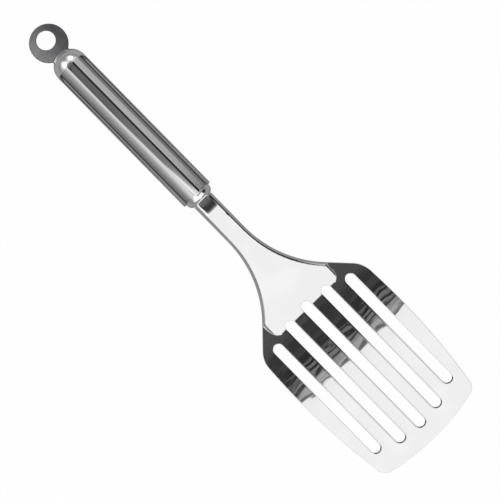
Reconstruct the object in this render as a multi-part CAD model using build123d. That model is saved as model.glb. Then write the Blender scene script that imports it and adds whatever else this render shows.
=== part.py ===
from build123d import *
import math
import os

# Fish spatula in millimetres. The tool is drawn with its handle along X, the
# neck leaving the handle at x = 0, the blade at plus x and the food side up.
# At the end it is laid down as it lies on a table, on its dome and front edge.

# Shared values
fit_clearance = 0.05
overrun = 5.0

# Handle tube
handle_diameter = 20.0
tube_length = 101.0
tube_wall = 1.5
tube_edge_radius = 0.4
flute_count = 6
flute_width = 4.0
flute_depth = 0.7
flute_lean = 30.0
flute_start = 1.2

# Front collar, a plug in the mouth of the tube
collar_length = 4.5
collar_edge_radius = 3.6
collar_plug_length = 11.0

# End dome
dome_skirt_length = 8.0
dome_bore = 15.0

# Hanging eye
eye_diameter = 22.2
eye_hole_diameter = 11.1
eye_hole_offset = 2.3
eye_thickness = 2.4
eye_reach = 18.2
eye_shank_width = 12.0
eye_shank_depth = 5.0
eye_neck_radius = 1.0
eye_rim = 0.35

# Blade sheet and its side view
sheet = 1.5
neck_run = 85.7
neck_slope = 20.0
root_straight = 3.0
root_bend_radius = 40.0
crease_bend_radius = 15.0
blade_arch_radius = 450.0
front_edge = 0.8

# Neck: a channel with turned-down edges
neck_width = 12.8
flange_depth = 5.0
flange_radius = 2.8
web_side_margin = 15.35
web_corner_radius = 3.5
web_front_radius = 9.0
web_reach = 3.5
flare_share = 0.988
tang_length = 24.0

# Blade head seen from above, measured from the crease where it meets the neck
blade_length = 102.6
blade_width = 82.1
blade_widest = 33.1
side_radius = 420.0
front_radius = 140.0
front_corner_radius = 6.5
shoulder_angle = 43.5
shoulder_place = 2.4
shoulder_radius = 15.0

# Slots, with what is left of the blade beside and before them
slot_count = 5
slot_width = 6.4
slot_side_margin = 9.15
slot_front_margin = 9.7
slot_reach_back = 5.6
slot_rear_radius = 68.0
slot_front_radius = 60.0

# Beads that hold the tang and the shank of the eye
tang_bead = 2.0
eye_bead = 1.0

# Sizes that follow from the ones above
handle_radius = handle_diameter / 2
bore_radius = handle_radius - tube_wall
plug_radius = bore_radius - fit_clearance
tube_front = -collar_length
tube_rear = tube_front - tube_length
eye_centre = tube_rear - eye_reach
crease = neck_run
blade_front = crease + blade_length
slope = math.tan(math.radians(neck_slope))
shoulder_slope = math.tan(math.radians(shoulder_angle))
deck_height = sheet / 2
root_vertex = root_straight + root_bend_radius * math.tan(math.radians(neck_slope / 2))
crease_vertex = crease - crease_bend_radius * math.tan(math.radians(neck_slope / 2))
blade_height = deck_height - (crease_vertex - root_vertex) * slope
below_all = blade_height - blade_width
tang_width = neck_width - 2 * flange_radius
web_width = blade_width - 2 * web_side_margin
half_shoulder = math.tan(math.radians(shoulder_angle / 2))
flare_line = (web_width - neck_width) / 2 / math.sin(math.radians(shoulder_angle))
flare_radius = flare_share * (flare_line / half_shoulder - web_corner_radius)
shoulder_y = blade_width / 2 - side_radius + math.sqrt(
    side_radius**2 - (blade_widest - shoulder_place) ** 2)
flare_apex = crease + shoulder_place - shoulder_y / shoulder_slope
slot_pitch = (blade_width - slot_width - 2 * slot_side_margin) / (slot_count - 1)
front_drop = blade_arch_radius - math.sqrt(blade_arch_radius**2 - blade_length**2)
front_height = blade_height - front_drop - front_edge

# How far the tool tips forward when it lies on its dome and its front edge
rest_run = blade_front - tube_rear
rest_tip = math.atan2(-front_height, rest_run) - math.asin(
    handle_radius / math.hypot(front_height, rest_run))


def stretch(rear, front):
    """Block that takes in all of the tool between two places along X."""
    return Pos((rear + front) / 2, 0, 0) * Box(front - rear, 2 * blade_width, 2 * blade_width)


def flute():
    """Cutter for the top flute: a round rear end, leaning walls and a bottom that follows the tube."""
    length = tube_length + overrun
    plan = Pos(flute_start + length / 2, 0, handle_radius) * SlotOverall(length, flute_width)
    cutter = extrude(plan, -2 * flute_depth, taper=flute_lean)
    return cutter - extrude(Plane.YZ * Circle(handle_radius - flute_depth), 2 * tube_length)


def handle_tube():
    """Round tube with shallow lengthwise flutes that stop short of the dome."""
    tube = extrude(Plane.YZ * Circle(handle_radius), tube_length)
    tube = fillet(tube.edges().group_by(Axis.X)[-1], tube_edge_radius)
    tube -= extrude(Plane.YZ * Circle(bore_radius), tube_length)
    for number in range(flute_count):
        tube -= Rot(number * 360 / flute_count, 0, 0) * flute()
    return Pos(tube_rear, 0, 0) * tube


def tang_section(margin):
    """Cross-section of the tang, grown by a margin on every side."""
    return Rectangle(tang_width + 2 * margin, sheet + 2 * margin)


def front_collar():
    """Round plug that closes the tube, with a slot for the tang."""
    length = collar_length + collar_plug_length
    plug = extrude(Plane.YZ * Circle(plug_radius), -length)
    plug = fillet(plug.edges().group_by(Axis.X)[-1], collar_edge_radius)
    slot = extrude(Plane.YZ * tang_section(fit_clearance), length, both=True)
    return plug - slot


def bead(width, thickness, size):
    """Chamfered bead round a flat bar, drawn from the origin forward."""
    section = Rectangle(width + 2 * size, thickness + 2 * size)
    ring = extrude(Plane.YZ * section, size)
    ring = chamfer(ring.edges().group_by(Axis.X)[-1], size / 2)
    return ring - extrude(Plane.YZ * Rectangle(width, thickness), size, both=True)


def tang_weld():
    """Bead round the tang, against the back of the front collar."""
    start = -collar_length - collar_plug_length
    return Pos(start, 0, 0) * Rot(0, 0, 180) * bead(tang_width, sheet, tang_bead)


def eye_shank(margin):
    """The shank of the eye, from the eye's centre into the dome, grown by a margin."""
    inner_end = tube_rear + eye_shank_depth
    length = inner_end - eye_centre
    width = eye_shank_width + 2 * margin
    height = eye_thickness + 2 * margin
    return Pos(eye_centre + length / 2, 0, 0) * Box(length, width, height)


def hanging_eye():
    """Flat eye with an off-centre hole and a shank."""
    disc = Pos(eye_centre, 0) * Circle(eye_diameter / 2)
    shank_length = tube_rear + eye_shank_depth - eye_centre
    shank = Pos(eye_centre + shank_length / 2, 0) * Rectangle(shank_length, eye_shank_width)
    outline = disc + shank
    corners = outline.vertices().group_by(Axis.X)[0]
    outline = fillet(corners, eye_neck_radius)
    hole = Pos(eye_centre - eye_hole_offset, 0) * Circle(eye_hole_diameter / 2)
    plate = extrude(outline - hole, eye_thickness / 2, both=True)
    rims = plate.edges().filter_by(GeomType.CIRCLE).filter_by(
        lambda edge: abs(edge.arc_center.Y) < eye_neck_radius)
    return chamfer(rims, eye_rim)


def end_dome():
    """Half-ball cap with a drilled skirt inside the tube and a slot for the eye."""
    bore = dome_bore / 2
    outside = CenterArc((0, 0), handle_radius, 180, -90)
    inside = Polyline(
        outside @ 1, (0, plug_radius), (dome_skirt_length, plug_radius), (dome_skirt_length, bore),
        (0, bore), (0, 0), outside @ 0)
    dome = revolve(make_face([outside, *inside.edges()]), Axis.X)
    return Pos(tube_rear, 0, 0) * dome - eye_shank(fit_clearance)


def eye_weld():
    """Bead round the shank where it comes out inside the dome."""
    return Pos(tube_rear, 0, 0) * bead(eye_shank_width, eye_thickness, eye_bead)


def under(path):
    """Solid block below a path in the side view, wider than the blade."""
    start = path.position_at(0)
    end = path.position_at(1)
    below = Polyline((end.X, end.Y), (end.X, below_all), (start.X, below_all), (start.X, start.Y))
    face = make_face([*path.edges(), *below.edges()])
    return extrude(Plane.XZ * face, blade_width, both=True)


def blade_arch(drop, reach):
    """Side view of the arch, from the crease forward, lowered square to its surface."""
    turn = math.degrees(math.asin(reach / blade_arch_radius))
    return JernArc((crease, blade_height - drop), (1, 0), blade_arch_radius - drop, -turn)


def web_path(drop):
    """Side view of the neck's web with its two bends, lowered square to its surface."""
    start = Line((0, deck_height - drop), (root_straight, deck_height - drop))
    bend = JernArc(start @ 1, start % 1, root_bend_radius - drop, -neck_slope)
    crease_bend = JernArc(
        (crease, blade_height - drop), (-1, 0), crease_bend_radius + drop, -neck_slope)
    fall = Line(bend @ 1, crease_bend @ 1)
    return Curve() + [start, bend, fall, crease_bend, blade_arch(drop, overrun)]


def blade_path(drop):
    """Side view of the blade, level behind the crease and gently arched before it."""
    height = blade_height - drop
    rear = Line((crease - blade_length / 2, height), (crease, height))
    return Curve() + [rear, blade_arch(drop, blade_length + overrun)]


def flare_region(reach):
    """The straight-sided widening from the neck towards the shoulders."""
    half = (reach - flare_apex) * shoulder_slope
    return make_face(Polyline((flare_apex, 0), (reach, half), (reach, -half), close=True))


def neck_region():
    """The parallel neck, from the collar to the crease."""
    return Pos(crease / 2, 0) * Rectangle(crease, neck_width)


def blade_outline():
    """Plan outline of neck and blade: straight shoulders, bowed sides, bowed front."""
    side_centre = side_radius - blade_width / 2
    left_side = Pos(crease + blade_widest, -side_centre) * Circle(side_radius)
    right_side = Pos(crease + blade_widest, side_centre) * Circle(side_radius)
    front = Pos(blade_front - front_radius, 0) * Circle(front_radius)
    outline = (flare_region(blade_front) & left_side & right_side & front) + neck_region()
    outline = fillet(outline.vertices().group_by(Axis.X)[-1], front_corner_radius)
    outline = fillet(outline.vertices().group_by(Axis.X)[2], shoulder_radius)
    return fillet(outline.vertices().group_by(Axis.X)[1], flare_radius)


def web_outline():
    """Plan outline of the raised web: the neck, its widening, and round front corners at the crease."""
    front = crease + web_reach
    strip = Pos(front / 2, 0) * Rectangle(front, web_width)
    outline = (flare_region(crease + overrun) & strip) + neck_region()
    outline = fillet(outline.vertices().group_by(Axis.X)[-1], web_front_radius)
    outline = fillet(outline.vertices().group_by(Axis.X)[2], web_corner_radius)
    return fillet(outline.vertices().group_by(Axis.X)[1], flare_radius)


def side_edge(edge):
    """True for an edge that runs along one side of the web."""
    return abs((edge @ 0.5).Y) > neck_width / 4 and abs((edge % 0.5).X) > abs((edge % 0.5).Y)


def web_block(inset):
    """Block under the web, its top edges rolled over, drawn in by a thickness."""
    plan = web_outline()
    if inset > 0:
        plan = offset(plan, -inset) + Rectangle(neck_width, neck_width - 2 * inset)
    block = extrude(plan, neck_run, both=True) & under(web_path(inset))
    top = block.faces().filter_by(lambda face: face.normal_at().Z > 0.5)
    edges = [edge for face in top for edge in face.edges() if side_edge(edge)]
    return fillet(edges, flange_radius - inset)


def set_back(radius, side):
    """How far an arc falls back at a distance from its middle."""
    return radius - math.sqrt(radius**2 - side**2)


def slots():
    """Round-ended slots whose ends lie on two arcs that bow towards the handle and the front."""
    middle = (slot_count - 1) / 2
    cutters = []
    for number in range(slot_count):
        side = (number - middle) * slot_pitch
        rear = crease - slot_reach_back + set_back(slot_rear_radius, side)
        front = blade_front - slot_front_margin - set_back(slot_front_radius, side)
        outline = Pos((rear + front) / 2, side) * SlotOverall(front - rear, slot_width)
        cutters.append(extrude(outline, blade_length, both=True))
    return cutters


def table():
    """The surface that the tool lies on, as a block. It grinds the front edge thin from below."""
    block = Pos(-blade_length / 2, 0, -blade_width / 2) * Box(2 * blade_length, 2 * blade_width, blade_width)
    return Pos(blade_front, 0, front_height) * Rot(0, math.degrees(rest_tip), 0) * block


def blade():
    """One stamping: slotted head, shoulders, channel neck and tang."""
    ear_rear = flare_apex + web_width / 2 / shoulder_slope - web_corner_radius / 2
    head = extrude(blade_outline(), blade_length, both=True) & under(blade_path(0))
    stamping = (head & stretch(ear_rear, blade_front)) + web_block(0)
    stamping -= under(web_path(flange_depth))
    stamping -= under(blade_path(sheet))
    stamping -= web_block(sheet)
    stamping += Pos(-tang_length / 2, 0, 0) * Box(tang_length, tang_width, sheet)
    for cutter in slots():
        stamping -= cutter
    return stamping - table()


def lie_down(pieces):
    """Tip the tool onto its dome and front edge, then centre it over its lowest point."""
    turn = Rot(0, -math.degrees(rest_tip), 0)
    box = Compound(children=[turn * piece for piece in pieces.values()]).bounding_box()
    move = Pos(-box.center().X, -box.center().Y, -box.min.Z)
    return move * turn


def main():
    pieces = {
        "blade": blade(),
        "handle_tube": handle_tube(),
        "front_collar": front_collar(),
        "end_dome": end_dome(),
        "hanging_eye": hanging_eye(),
        "tang_weld": tang_weld(),
        "eye_weld": eye_weld(),
    }
    place = lie_down(pieces)
    os.makedirs("parts", exist_ok=True)
    for name, piece in pieces.items():
        solids = piece.solids()
        placed = place * (solids[0] if len(solids) == 1 else piece)
        export_step(placed, f"parts/{name}.step")
        print(name, placed.is_valid, len(solids), round(placed.volume, 2))
    hole = place * Pos(eye_centre - eye_hole_offset, 0, 0)
    print("hole centre", hole.position, "axis", (hole * Pos(0, 0, 1)).position - hole.position)
    print("tool frame turned by", place.orientation, "moved by", place.position)


if __name__ == "__main__":
    main()
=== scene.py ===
# %% [markdown]
# # A fish spatula on a white sheet
# The spatula is already modelled as solids: a stamped slotted blade, a fluted tube
# handle with a collar and a dome, and a flat eye to hang it by. Steel has almost no
# colour of its own, so what makes it look real is how smooth each piece is and what
# it mirrors. This lesson takes the solids as they are, gives each its own finish,
# and builds the small studio that the steel reflects.

import math

import bmesh
import bpy
from mathutils import Matrix, Vector

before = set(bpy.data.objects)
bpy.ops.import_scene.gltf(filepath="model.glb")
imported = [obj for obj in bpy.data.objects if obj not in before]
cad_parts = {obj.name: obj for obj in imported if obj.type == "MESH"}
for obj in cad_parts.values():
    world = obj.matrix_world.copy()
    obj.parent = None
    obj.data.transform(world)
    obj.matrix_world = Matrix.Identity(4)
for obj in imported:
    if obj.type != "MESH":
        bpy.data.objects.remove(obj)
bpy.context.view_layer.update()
print("pieces:", ", ".join(sorted(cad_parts)))

# %% [markdown]
# ## The camera
# The photograph looks almost straight down with a long lens, so the handle hardly
# tapers in the picture. A camera could be turned by three angles, but it is easier to
# place by its own three axes: the way it looks back, the picture's right and the
# picture's up. The spatula's length runs from the top left to the bottom right, a
# little steeper than half a right angle.

# %% Camera
camera_distance = 1.4
camera_lens = 178.2
camera_aim = Vector((0.01075, -0.00063, 0.01))
lean_to_tail = math.radians(3.693)
lean_to_right = math.radians(0.177)
spatula_turn = math.radians(45.467)


def photograph_camera():
    """Camera above the spatula, at the photograph's angle."""
    back = Vector((-math.tan(lean_to_tail), -math.tan(lean_to_right), 1)).normalized()
    level = Vector((math.cos(spatula_turn), math.sin(spatula_turn), 0))
    right = (level - back * level.dot(back)).normalized()
    up = back.cross(right)
    axes = Matrix((right, up, back)).transposed().to_4x4()
    camera = bpy.data.objects.new("camera", bpy.data.cameras.new("camera"))
    camera.data.lens = camera_lens
    camera.matrix_world = Matrix.Translation(camera_aim + back * camera_distance) @ axes
    bpy.context.scene.collection.objects.link(camera)
    return camera


bpy.context.scene.camera = photograph_camera()
bpy.context.scene.view_settings.view_transform = "Standard"
print("camera at", [round(place, 3) for place in bpy.context.scene.camera.location])

# %% [markdown]
# ## Shader maths
# A finish is a small calculation: this much scratch, times that much wear. It could be
# wired by hand in the Shader Editor, but in a script every wire is a line of its own,
# which is long and hard to read. One class can wrap a node's output instead, and turn
# Python's own signs into Math nodes. The same class can say the few other things that
# a mask needs: to rise, to rise and fall, and to choose between two values.

# %% Signals
class Signal:
    """The output of a node. Sums and products of signals add their Math nodes."""

    def __init__(self, sheet, output):
        self.sheet = sheet
        self.output = output

    def __add__(self, other):
        return self.sheet.math("ADD", self, other)

    def __sub__(self, other):
        return self.sheet.math("SUBTRACT", self, other)

    def __rsub__(self, other):
        return self.sheet.math("SUBTRACT", other, self)

    def __mul__(self, other):
        return self.sheet.math("MULTIPLY", self, other)

    def __truediv__(self, other):
        return self.sheet.math("DIVIDE", self, other)

    def __rtruediv__(self, other):
        return self.sheet.math("DIVIDE", other, self)

    def __pow__(self, other):
        return self.sheet.math("POWER", self, other)

    __radd__ = __add__
    __rmul__ = __mul__

    def largest(self, other):
        return self.sheet.math("MAXIMUM", self, other)

    def smallest(self, other):
        return self.sheet.math("MINIMUM", self, other)

    def absolute(self):
        return self.sheet.math("ABSOLUTE", self)

    def straight(self, start, end, low=0.0, high=1.0, way="LINEAR"):
        """Goes evenly from low at start to high at end."""
        ends = {"From Min": start, "From Max": end, "To Min": low, "To Max": high}
        settings = {"interpolation_type": way}
        return self.sheet.node("ShaderNodeMapRange", settings, {"Value": self, **ends})

    def ease(self, start, end, low=0.0, high=1.0):
        """The same, with a soft start and a soft end."""
        return self.straight(start, end, low, high, "SMOOTHSTEP")

    def band(self, start, full, last, end):
        """Rises from start to full, stays up, and falls from last to end."""
        return self.ease(start, full) * self.ease(end, last)

    def between(self, first, second):
        """The first number where this signal is 0, and the second where it is 1."""
        values = {"Factor": self, 2: first, 3: second}
        return self.sheet.node("ShaderNodeMix", {"data_type": "FLOAT"}, values)

    def blend(self, first, second):
        """The same for two colours, which have sockets of their own in the Mix node."""
        values = {"Factor": self, 6: first, 7: second}
        return self.sheet.node("ShaderNodeMix", {"data_type": "RGBA"}, values, output=2)

    def profile(self, steps):
        """Grey that follows a list of places and levels."""
        first, last = steps[0][0], steps[-1][0]
        stops = [((place - first) / (last - first), level) for place, level in steps]
        return self.sheet.node("ShaderNodeValToRGB", {"stops": stops}, [self.straight(first, last)])


print("signals ready")

# %% [markdown]
# ## Sheets of nodes
# The other class is the sheet that the nodes are drawn on. One method makes every kind
# of node, sets it up and plugs in what it is given, and short methods ask for the nodes
# that come back in each finish. Places are read from the object, and never from the
# camera, so that a finish stays on its piece from every side.

# %% Sheets
class Sheet:
    """A node tree that is being written, one node at a time."""

    def __init__(self, tree):
        self.tree = tree
        tree.nodes.clear()

    def node(self, kind, settings=None, values=(), output=0):
        """Adds a node, sets it up, and fills sockets by their names or their numbers."""
        made = self.tree.nodes.new(kind)
        for name, setting in (settings or {}).items():
            if name == "stops":
                self.set_stops(made.color_ramp.elements, setting)
            else:
                setattr(made, name, setting)
        pairs = values.items() if isinstance(values, dict) else enumerate(values)
        for name, value in pairs:
            if isinstance(value, Signal):
                self.tree.links.new(value.output, made.inputs[name])
            else:
                made.inputs[name].default_value = value
        return Signal(self, made.outputs[output]) if made.outputs else made

    def set_stops(self, stops, levels):
        """Sets the stops of a ramp to grey levels, each with its place."""
        while len(stops) < len(levels):
            stops.new(1.0)
        for stop, (place, level) in zip(stops, levels):
            stop.position = place
            stop.color = (level, level, level, 1)

    def math(self, operation, *values):
        return self.node("ShaderNodeMath", {"operation": operation}, values)

    def place(self, stretch=(1, 1, 1)):
        """Place on the piece in metres, counted faster or slower along each axis."""
        place = self.node("ShaderNodeTexCoord", output="Object")
        return self.node("ShaderNodeMapping", None, {"Vector": place, "Scale": stretch})

    def parts(self, vector):
        """The three numbers of a place or a direction."""
        return [self.node("ShaderNodeSeparateXYZ", None, [vector], axis) for axis in range(3)]

    def millimetres(self):
        """Place on the piece along its length, across it and up, in millimetres."""
        return self.parts(self.place((1000, 1000, 1000)))

    def noise(self, scale, stretch=(1, 1, 1), detail=2.0):
        values = {"Vector": self.place(stretch), "Scale": scale, "Detail": detail}
        return self.node("ShaderNodeTexNoise", None, values)

    def rounded(self, radius):
        """The surface's direction, as if its edges were rounded by this radius."""
        return self.node("ShaderNodeBevel", {"samples": 8}, {"Radius": radius})

    def bump(self, height, depth=1.0, normal=None):
        """Raises the surface by a height in metres, or by a noise times a depth in metres."""
        values = {"Height": height, "Distance": depth, "Strength": 1.0}
        if normal:
            values["Normal"] = normal
        return self.node("ShaderNodeBump", None, values)


print("sheets ready")

# %% [markdown]
# ## Steel
# All the pieces are stainless steel, a bare metal with a pale grey colour. They could
# share one material, but each was finished in its own way, and that is what the eye
# reads. So one function builds the steel, and each finish gives it its own colour, its
# own roughness and its own tool marks.

# %% Steel
micron = 1e-6
millimetre = 1e-3


def steel_grey(level, blue=0.0):
    """A grey, with a touch of blue where the steel is cold."""
    return (level, level, level + blue, 1)


def steel(name, node, paint):
    """Gives a solid a steel finish. paint(sheet) returns colour, roughness and normal."""
    material = bpy.data.materials.new(name)
    material.use_nodes = True
    sheet = Sheet(material.node_tree)
    colour, roughness, normal = paint(sheet)
    values = {"Base Color": colour, "Metallic": 1.0, "Roughness": roughness, "Normal": normal}
    shader = sheet.node("ShaderNodeBsdfPrincipled", None, values)
    sheet.node("ShaderNodeOutputMaterial", None, {"Surface": shader})
    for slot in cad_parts[node].material_slots:
        slot.material = material
    print(name, "on", node, "with", len(sheet.tree.nodes), "nodes")


print("steel ready")

# %% [markdown]
# ## The waves of the polishing wheel
# The blade and its neck were polished on a wheel after stamping. Close to, such a
# sheet is a mirror that is not quite flat: the wheel leaves shallow waves that run
# across the blade, so that the edges of reflections wobble. Waves a few hundredths of
# a millimetre deep would cost a very fine mesh, so they are bump: long shallow noise
# for the waves, slower noise for the swell of the whole sheet, and short noise for the
# haze of fine lines. The neck was held in the press, so it is flatter, and its root is
# crowned a little. A Bevel node rounds the edges that the wheel has worn.

# %% Waves
wave_scale = 210
wave_stretch = (1.0, 0.22, 1.0)
wave_depth = 34 * micron
calm_share = 0.45
swell_scale = 70
swell_stretch = (1, 2.2, 1)
swell_depth = 40 * micron
neck_flat = (-10, 50, 0.1, 1.0)
root_crown = 8.2 * micron
root_reach = (4, -14)
edge_radius = 0.55 * millimetre
line_depth = 0.02 * micron


def wheel_polish(sheet, patches, lines):
    """Direction of a sheet that was polished on a wheel."""
    x, y, _ = sheet.millimetres()
    waves = sheet.noise(wave_scale, wave_stretch, detail=1.0) * (calm_share + patches) * wave_depth
    swell = sheet.noise(swell_scale, swell_stretch, detail=0.0) * swell_depth
    crown = root_crown * y ** 2 * x.ease(*root_reach)
    height = (waves + swell) * x.ease(*neck_flat) - crown
    return sheet.bump(lines, line_depth, sheet.bump(height, normal=sheet.rounded(edge_radius)))


depths = [round(depth / millimetre, 3) for depth in (wave_depth, swell_depth)]
print("waves and swell, in millimetres deep:", *depths)

# %% [markdown]
# ## The punched slots
# A punch makes each slot and leaves its wall dull. The walls are blended towards near-black,
# partly for the dull sheared steel and partly as painted shade, darker inside the slots than
# at the outside of the head. Thin dark lines of painted shade run along the rims of the
# slots, strong on one side and faint on the other, and round their front ends. The rims
# could be picked out face by face, but the solid is only loose triangles. A Bevel node finds
# them instead: it says which way a rounded edge would face, and where that leans away from up, a rim
# is near.

# %% Sheared walls and painted rim shade
rim_radius = 2.0 * millimetre
rim_leans = (0.10, 0.25)
front_rim_leans = (-0.09, -0.16)
strong_rim_shade, faint_rim_shade = 0.95, 0.5
slots_side = (32, 31)
slots_rear = (57, 60)
slots_front = (155, 153)
rims_fade = (86, 98, 1.0, 0.3)
wall_leans = (0.35, 0.25)
head_rear = (57, 59)
inner_slots_rear = (51, 52)
inner_slots_side = (21, 20)
edge_dark, slot_darker = 0.5, 0.4


def sheared_walls_and_painted_shade(sheet):
    """Mask of the dull walls of the slots and the blade's edge, partly painted shade, and of the
    painted shade along the slots' rims.
    """
    x, y, _ = sheet.millimetres()
    side = y.absolute()
    slots = side.ease(*slots_side) * x.ease(*slots_front) * x.ease(*slots_rear)
    over_x, over_y, _ = sheet.parts(sheet.rounded(rim_radius))
    start, full = rim_leans
    along = (strong_rim_shade * over_y.ease(start, full)).largest(faint_rim_shade * over_y.ease(-start, -full))
    painted_rim_shade = over_x.ease(*front_rim_leans).largest(along * x.ease(*rims_fade)) * slots
    facing = sheet.parts(sheet.node("ShaderNodeNewGeometry", output="Normal"))[2]
    inner_slots = x.ease(*inner_slots_rear) * side.ease(*inner_slots_side)
    head = x.ease(*head_rear).largest(inner_slots)
    walls = facing.absolute().ease(*wall_leans) * head * (edge_dark + slot_darker * slots)
    return walls.largest(painted_rim_shade)


# The dark lines along the rims are painted shade.
print("rolled rims are sought within", rim_radius / millimetre, "mm of an edge")

# %% [markdown]
# ## The polished blade
# The finish of the blade puts these together. Where the wheel passed more often, soft
# patches are a shade paler, and the fine lines make the mirror a little rough. Both
# come from the same noises as the bump, so that colour, gloss and waves belong together.

# %% Polished sheet
patch_scale = 45
patch_edges = (0.45, 0.7)
line_scale = 9000
line_stretch = (1.0, 0.04, 1.0)
mirror_rough, patch_rough, line_rough, shear_rough = 0.02, 0.02, 0.01, 0.3
wheel_grey, patch_grey = steel_grey(0.86, 0.01), steel_grey(0.90, 0.01)
sheared_and_shade_grey = steel_grey(0.01)


def polished_sheet(sheet):
    patches = sheet.noise(patch_scale, detail=1.0).ease(*patch_edges)
    lines = sheet.noise(line_scale, line_stretch, detail=1.0)
    sheared_and_shaded = sheared_walls_and_painted_shade(sheet)
    # Walls and rims are blended towards near-black: dull sheared steel, and painted shade.
    colour = sheared_and_shaded.blend(patches.blend(wheel_grey, patch_grey), sheared_and_shade_grey)
    roughness = mirror_rough + patch_rough * patches + line_rough * lines + shear_rough * sheared_and_shaded
    return colour, roughness, wheel_polish(sheet, patches, lines)


steel("polished_sheet", "blade", polished_sheet)

# %% [markdown]
# ## Round the handle
# The marks on the handle follow its axis and its six flutes. The handle lies a little
# nose down, so a mark along the world's axes would wander off a flute. Its own
# coordinates are worked out first: how far along it a point is, how far round it, and
# how far from the middle of the nearest flute. A Snap node finds that flute.

# %% The handle's own coordinates
handle_radius = 10
handle_tilt = math.radians(5.5264)
handle_shift = 28.4373
handle_height = 20.1601
flute_pitch = math.radians(60)


def round_the_handle(sheet):
    """Places along the sheet and the handle, turn round it, and place from its flute."""
    x, y, z = sheet.millimetres()
    forward, up = x + handle_shift, z - handle_height
    along = forward * math.cos(handle_tilt) + up * math.sin(handle_tilt)
    above = up * math.cos(handle_tilt) - forward * math.sin(handle_tilt)
    turn = sheet.math("ARCTAN2", y, above)
    nearest = sheet.math("SNAP", turn + flute_pitch / 2, flute_pitch)
    return x, along, turn, (turn - nearest) * handle_radius


print("flutes", round(handle_radius * flute_pitch, 1), "mm apart round the handle")

# %% [markdown]
# ## Painted shade in the flutes
# Dark lines are painted into the flutes as shade: in the corners of the top flute, and round
# the rear ends of the flutes. On the flutes at the sides the painted shade lies in the corner
# nearest to the top. Such dark lines could be cut deeper into the solid, but they are a colour
# and not a form, so they are a mask with soft edges, in millimetres from the middle of the flute.

# %% Painted shade in the flutes
top_reach = (math.radians(20), math.radians(18))
right_corner = (1.55, 1.7, 2.6, 2.8)
left_corner = (-1.5, -1.7, -2.1, -2.3)
left_corner_reach = (-60, -100)
upper_corner = (-0.1, 0.6, 2.3, 2.5)
rear_centre = -102.3
rear_ring = (1.4, 1.6, 2.1, 2.3)
rear_reach = (-102.0, -102.4)
left_corner_shade, side_corner_shade, rear_end_shade = 0.85, 0.9, 0.85


def painted_shade_in_flutes(sheet, x, along, turn, from_flute):
    """Mask of the shade painted into the corners and rear ends of the flutes."""
    on_top = turn.absolute().ease(*top_reach)
    left = from_flute.band(*left_corner) * x.ease(*left_corner_reach) * left_corner_shade
    top = on_top * from_flute.band(*right_corner).largest(left)
    upward = from_flute * sheet.math("SIGN", turn) * -1
    sides = (1 - on_top) * upward.band(*upper_corner) * side_corner_shade
    behind = (along - rear_centre).smallest(0)
    from_centre = (behind ** 2 + from_flute ** 2) ** 0.5
    rear = from_centre.band(*rear_ring) * along.ease(*rear_reach)
    return (top + sides).largest(rear_end_shade * rear)


print("corners from", right_corner[0], "to", right_corner[-1], "mm beside the middle of a flute")

# %% [markdown]
# ## The satin tube
# The tube was ground lengthwise and left satin, so that it does not slip. Noise that is
# stretched along the handle makes the grinding lines, which spread each highlight round
# it. The bottom of the top flute stays smooth, as the tube was drawn, so it mirrors the
# room more sharply than the ground steel beside it. Its grey is also painted much paler, as a
# painted highlight along the top.

# %% Satin tube
grind_scale = 5200
grind_stretch = (0.02, 1.0, 1.0)
grind_depth = 2.5 * micron
satin_cloud_scale = 60
satin_cloud_stretch = (0.3, 1, 1)
satin_rough, cloud_rough, grind_rough = 0.05, 0.04, 0.03
flute_bottom = (2.2, 2.0)
bottom_smoother, bottom_flatter = 0.65, 0.75
ground_grey, cloudy_grey = steel_grey(0.61), steel_grey(0.68)
drawn_highlight_grey = steel_grey(0.88)
flute_shade_grey = steel_grey(0.03)


def satin_tube(sheet):
    lines = sheet.noise(grind_scale, grind_stretch)
    cloud = sheet.noise(satin_cloud_scale, satin_cloud_stretch)
    x, along, turn, from_flute = round_the_handle(sheet)
    bottom = from_flute.absolute().ease(*flute_bottom) * turn.absolute().ease(*top_reach)
    flute_shade = painted_shade_in_flutes(sheet, x, along, turn, from_flute)
    # The top flute's bottom is painted a paler grey, as a painted highlight.
    colour = bottom.blend(cloud.blend(ground_grey, cloudy_grey), drawn_highlight_grey)
    # The flutes' corners and rear ends are darkened with painted shade.
    colour = flute_shade.blend(colour, flute_shade_grey)
    roughness = satin_rough + cloud_rough * cloud + grind_rough * lines
    normal = sheet.bump(lines * (1 - bottom_flatter * bottom), grind_depth)
    return colour, roughness * (1 - bottom_smoother * bottom), normal


steel("satin_tube", "handle_tube", satin_tube)

# %% [markdown]
# ## The turned collar and the dome
# Both were polished as they spun in a lathe, which leaves very fine rings round the
# handle. The rings could be modelled as grooves, but they are far thinner than a pixel,
# so stretched noise in the bump is enough. Both pieces are brighter than the satin tube.
# The collar took a full polish. The dome is softer, and shows the lamps as round spots.

# %% Turned collar and dome
ring_scale = 4000
ring_stretch = (1.0, 0.02, 0.02)
turned_cloud_scale = 150
rougher_in_cloud, rougher_on_rings = 0.6, 0.3


def turned(sheet, roughness, ring_depth, dark, pale):
    """Finish of a piece that was polished in a lathe."""
    rings = sheet.noise(ring_scale, ring_stretch)
    cloud = sheet.noise(turned_cloud_scale)
    colour = cloud.blend(steel_grey(dark), steel_grey(pale))
    roughness = roughness * (1 + rougher_in_cloud * cloud + rougher_on_rings * rings)
    return colour, roughness, sheet.bump(rings, ring_depth)


def collar_steel(sheet):
    return turned(sheet, roughness=0.02, ring_depth=0.03 * micron, dark=0.90, pale=0.95)


def dome_steel(sheet):
    return turned(sheet, roughness=0.125, ring_depth=0.6 * micron, dark=0.86, pale=0.94)


steel("collar_steel", "front_collar", collar_steel)
steel("dome_steel", "end_dome", dome_steel)

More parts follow.
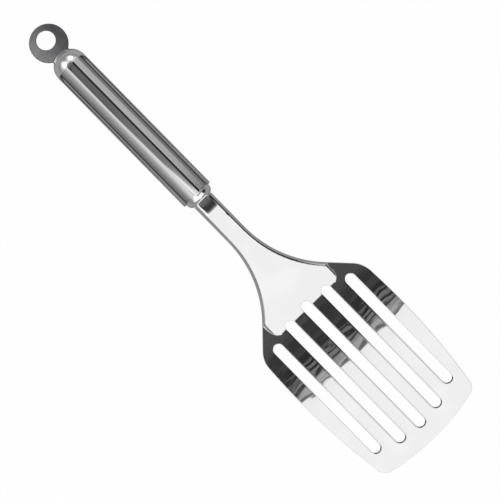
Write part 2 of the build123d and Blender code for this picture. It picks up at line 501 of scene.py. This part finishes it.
# %% [markdown]
# ## The hanging eye
# The eye was cut from plate and tumbled dull, and its grey is the darkest of the pieces.
# Tumbling leaves an even grain, which fine noise in the bump gives. Across the plate the grey
# is painted paler on one side and darker on the other, as painted light and shade, and slow
# noise adds a random tone. A very shallow crown keeps the flat face from mirroring one spot of the
# room all over.

# %% Tumbled plate
grain_scale = 2600
grain_depth = 2.5 * micron
plate_cloud_scale = 220
plate_crown = 3.0 * micron
lit_across = (10, -10)
lit_share, cloud_share = 0.75, 0.25
shaded_and_dark_grey, lit_and_pale_grey = steel_grey(0.15, 0.01), steel_grey(0.43, 0.01)
plate_rough, plate_cloud_rough = 0.30, 0.08


def satin_plate(sheet):
    grain = sheet.noise(grain_scale, detail=3.0)
    cloud = sheet.noise(plate_cloud_scale)
    _, y, _ = sheet.millimetres()
    # Painted light and shade: paler towards one side of the plate and darker towards the other, plus
    # a random tone from the noise.
    lit_side_and_tone = lit_share * y.ease(*lit_across) + cloud_share * cloud
    normal = sheet.bump(grain * grain_depth - plate_crown * y ** 2)
    return lit_side_and_tone.blend(shaded_and_dark_grey, lit_and_pale_grey), plate_rough + plate_cloud_rough * cloud, normal


steel("satin_plate", "hanging_eye", satin_plate)

# %% [markdown]
# ## The welds
# The two beads are sealed inside the handle, where no wheel reached them. They keep the
# ripples of the weld and the straw and blue tints of its heat. Nobody sees them in the
# finished handle, but a cutaway would, so two noises give them a plain honest finish.

# %% Weld beads
ripple_scale = 900
ripple_depth = 60 * micron
heat_scale = 300
heat_blue = (0.32, 0.34, 0.42, 1)
heat_straw = (0.55, 0.47, 0.36, 1)
bead_rough, ripple_rough = 0.35, 0.2


def weld_bead(sheet):
    ripples = sheet.noise(ripple_scale)
    colour = sheet.noise(heat_scale, detail=1.0).blend(heat_blue, heat_straw)
    return colour, bead_rough + ripple_rough * ripples, sheet.bump(ripples, ripple_depth)


steel("weld_bead", "tang_weld", weld_bead)
steel("weld_bead_eye", "eye_weld", weld_bead)

# %% [markdown]
# ## The sheet's paint
# The spatula lies on a plain white sheet. White paint that is lit until it looks white
# would throw much light up at the steel. So the paint is a middle grey, and a glow makes
# the sheet white where the camera sees it, which a Light Path node tells. Glass would
# see that glow too. Polished steel sees a twentieth of it, because the flanges are dark
# underneath. A little stays plain paint for the camera, and carries the soft shadow.

# %% White sheet
floor_paint = 0.34
floor_glow = 0.95
steel_share = 0.05
glow_strength = 1.03
plain_white = (1, 1, 1, 1)


def white_sheet():
    """Matt paint that glows where the camera sees it."""
    material = bpy.data.materials.new("white_sheet")
    material.use_nodes = True
    sheet = Sheet(material.node_tree)
    kinds = ("Is Camera Ray", "Is Glossy Ray", "Is Transmission Ray")
    camera, mirror, through = [sheet.node("ShaderNodeLightPath", output=kind) for kind in kinds]
    seen = camera.largest(through).largest(mirror * steel_share)
    paint = sheet.node("ShaderNodeBsdfDiffuse", None, {"Color": steel_grey(floor_paint)})
    light = {"Color": plain_white, "Strength": glow_strength}
    glow = sheet.node("ShaderNodeEmission", None, light)
    mixed = sheet.node("ShaderNodeMixShader", None, [seen * floor_glow, paint, glow])
    sheet.node("ShaderNodeOutputMaterial", None, {"Surface": mixed})
    return material


print("the camera sees", round(100 * (1 - floor_glow)), "parts of paint in a hundred")

# %% [markdown]
# ## The floor
# The sheet itself is one large square, and the grid operator draws it in one step. It
# reaches so far that its edge stays out of the picture.

# %% Floor
floor_size = 6.0


def lay_floor():
    """Square at table height, centred under the spatula."""
    shape = bmesh.new()
    bmesh.ops.create_grid(shape, x_segments=1, y_segments=1, size=floor_size / 2)
    mesh = bpy.data.meshes.new("floor")
    shape.to_mesh(mesh)
    shape.free()
    mesh.materials.append(white_sheet())
    floor = bpy.data.objects.new("floor", mesh)
    bpy.context.scene.collection.objects.link(floor)
    return floor


floor = lay_floor()
print("floor", 2 * max(corner.co.x for corner in floor.data.vertices), "metres wide")

# %% [markdown]
# ## What the blade mirrors
# Polished steel shows the whole room, so the room matters more than the lamps. It is a
# white tent with an opening overhead. It could be built from sheets of cloth, but
# painting it into the world by direction is simpler, and its soft edges cost nothing.
#
# The flat blade mirrors the opening as a dark patch. The first list says how bright the
# room is from deep in the opening outwards: the folds of cloth along its rim are the
# thin streaks, and past them the white tent starts. The second list goes from one side
# to the other. The tent is open there, and that draws the dark lines on the flanges.

# %% The opening overhead
rim_steps = [
    (-0.260, 0.20), (-0.150, 0.10), (-0.090, 0.075), (-0.066, 0.060), (-0.048, 0.036),
    (-0.022, 0.060), (-0.012, 0.030), (0.006, 0.030), (0.009, 0.12), (0.013, 0.14),
    (0.016, 0.012), (0.023, 0.012), (0.0255, 0.18), (0.030, 0.19), (0.0325, 0.012),
    (0.0385, 0.012), (0.041, 0.21), (0.0455, 0.22), (0.048, 0.02), (0.053, 0.03),
    (0.057, 0.22), (0.064, 0.30), (0.075, 0.42), (0.082, 0.40), (0.087, 0.11),
    (0.092, 0.13), (0.097, 0.96), (0.150, 1.000)]
side_steps = [
    (-1.0, 0.11), (-0.95, 0.15), (-0.88, 0.26), (-0.78, 0.70), (-0.68, 1.0), (0.54, 1.0),
    (0.64, 0.08), (0.8, 0.03), (1.0, 0.02)]
corner_ahead = -0.05
corner_beside = 0.04
wide_side = 0.25


def opening(across, ahead, aside):
    """Level of the opening, by how far a direction lies past its rounded rim."""
    beside = (-1 * aside).largest(wide_side * aside)
    past = ahead - corner_ahead
    corner = (past.largest(0) ** 2 + (beside - corner_beside).largest(0) ** 2) ** 0.5
    reach = corner + corner_ahead + past.smallest(0)
    return reach.profile(rim_steps) * across.profile(side_steps)


print("the rim of the opening has", len(rim_steps), "levels")

# %% [markdown]
# ## What the handle mirrors
# The handle mirrors the tent behind the opening. The tent darkens to both sides, which
# rounds the tube. Its left wall falls off as light does away from a lamp, and its right
# wall is a plain grey. A grey panel hangs in it, cut on a slant, so that the top flute
# is dark at the rear and turns white towards the collar. A smaller panel darkens one side
# of the collar, and a gap in the curtain at the back gives the dome its dark core.
# Panels could be objects too, but here each is a product of soft edges, and each pair
# of numbers says where one such edge starts and ends.

# %% The tent
left_wall = (-0.56, -1.0)
left_fall = 1.88
right_wall = [(0.36, 1.0), (0.40, 0.70), (0.9, 0.62), (1.0, 0.5)]
panel_slants = [(8, -0.0957, -0.41), (17, -0.0756, -0.163), (150, -0.0677, -0.07)]
panel_start = -0.42
slant_edge = (-0.04, 0.04)
panel_end = (0.45, 0.40)
panel_rear = (-0.55, -0.4)
panel_grey = 0.135
panel_paler = (-0.12, -0.09, 0.0, 0.06)
panel_palest = (-0.082, -0.070, 0.0, 0.27)
palest_side = (0.40, -0.05)
collar_panel = (-0.0670, -0.0655)
collar_panel_side = (0.40, 0.47)
collar_panel_dark = 0.5
tent_rear = (-0.75, -0.4, 0.68, 1.0)
gap_side = (0.30, 0.15)
gap_rear = (-0.76, -0.84)
gap_dark = 0.6


def tent(forward, across, aside, lean):
    """Level of the tent with its panels and its gap."""
    edge = panel_start
    for slope, place, start in panel_slants:
        edge = (slope * (lean - place) + start).largest(edge)
    panel = (aside - edge).ease(*slant_edge) * aside.ease(*panel_end) * forward.ease(*panel_rear)
    grey = panel_grey + lean.ease(*panel_paler)
    grey = grey + lean.ease(*panel_palest) * aside.ease(*palest_side)
    walls = across.profile(right_wall) / (1 + left_fall * across.straight(*left_wall))
    level = panel.between(walls, grey)
    beside_collar = lean.ease(*collar_panel) * aside.ease(*collar_panel_side)
    gap = across.absolute().ease(*gap_side) * forward.ease(*gap_rear)
    level = level * (1 - collar_panel_dark * beside_collar)
    return level * forward.ease(*tent_rear) * (1 - gap_dark * gap)


print("the left wall falls to", round(1 / (1 + left_fall), 2), "and the right to", right_wall[-1][1])

# %% [markdown]
# ## The world
# The world puts the two together. Directions are divided by their height, so that a
# straight edge in the room stays straight. What the tilted handle mirrors from one end
# to the other lies on circles of equal lean, so the tent takes over at the lean where
# the blade's mirror ends. Low at the sides the room is plain grey, for the views from
# table height. The camera itself sees plain white past the floor.

# %% World
lowest_rise = 0.02
handle_lean = 0.096
tent_ends = (-0.0619, -0.0611)
low_rise = (0.38, 0.20)
low_beside = (0.0, 0.2)
low_grey = 0.25


def studio_world():
    """World that the steel sees as a studio, and the camera as plain white."""
    world = bpy.data.worlds.new("studio")
    bpy.context.scene.world = world
    world.use_nodes = True
    sheet = Sheet(world.node_tree)
    forward, across, up = sheet.parts(sheet.node("ShaderNodeTexCoord", output="Generated"))
    rise = up.largest(lowest_rise)
    ahead, aside = forward / rise, across / rise
    lean = forward + handle_lean * up
    rooms = tent(forward, across, aside, lean), opening(across, ahead, aside)
    level = lean.straight(*tent_ends).between(*rooms)
    low = up.ease(*low_rise) * across.absolute().ease(*low_beside)
    level = low.between(level, low_grey)
    strength = sheet.node("ShaderNodeLightPath", output="Is Camera Ray").between(level, 1.0)
    light = {"Color": plain_white, "Strength": strength}
    background = sheet.node("ShaderNodeBackground", None, light)
    sheet.node("ShaderNodeOutputWorld", None, {"Surface": background})
    print("studio painted with", len(sheet.tree.nodes), "nodes")


studio_world()

# %% [markdown]
# ## The lamps
# Two round lamps stand behind the handle, left and right. They are the two spots in the
# dome. A smaller soft lamp beside the handle draws the white line along it. A lamp could
# be placed by three coordinates, but an angle from overhead and a heading are easier to
# match to a highlight. Its power follows from how bright its face should look, so that
# its size can change without changing that.

# %% Lamps
def lamp(name, angle, heading, distance, size, radiance):
    """Round lamp, at an angle from overhead and a heading from forward, aimed at the spatula."""
    data = bpy.data.lights.new(name, "AREA")
    data.shape = "DISK"
    data.size = size
    face = math.pi * (size / 2) ** 2
    data.energy = radiance * math.pi * face
    tilt, turn = math.radians(angle), math.radians(heading)
    level = math.sin(tilt)
    away = Vector((level * math.cos(turn), level * math.sin(turn), math.cos(tilt)))
    made = bpy.data.objects.new(name, data)
    made.location = camera_aim + away * distance
    made.rotation_euler = away.to_track_quat("Z", "Y").to_euler()
    bpy.context.scene.collection.objects.link(made)
    print(name, "at", [round(place, 2) for place in made.location], "metres")


lamp("lamp_left", angle=49, heading=210, distance=1.2, size=0.44, radiance=5.0)
lamp("lamp_right", angle=59, heading=146, distance=1.2, size=0.40, radiance=5.0)
lamp("soft_lamp", angle=31, heading=270, distance=1.3, size=0.25, radiance=1.2)
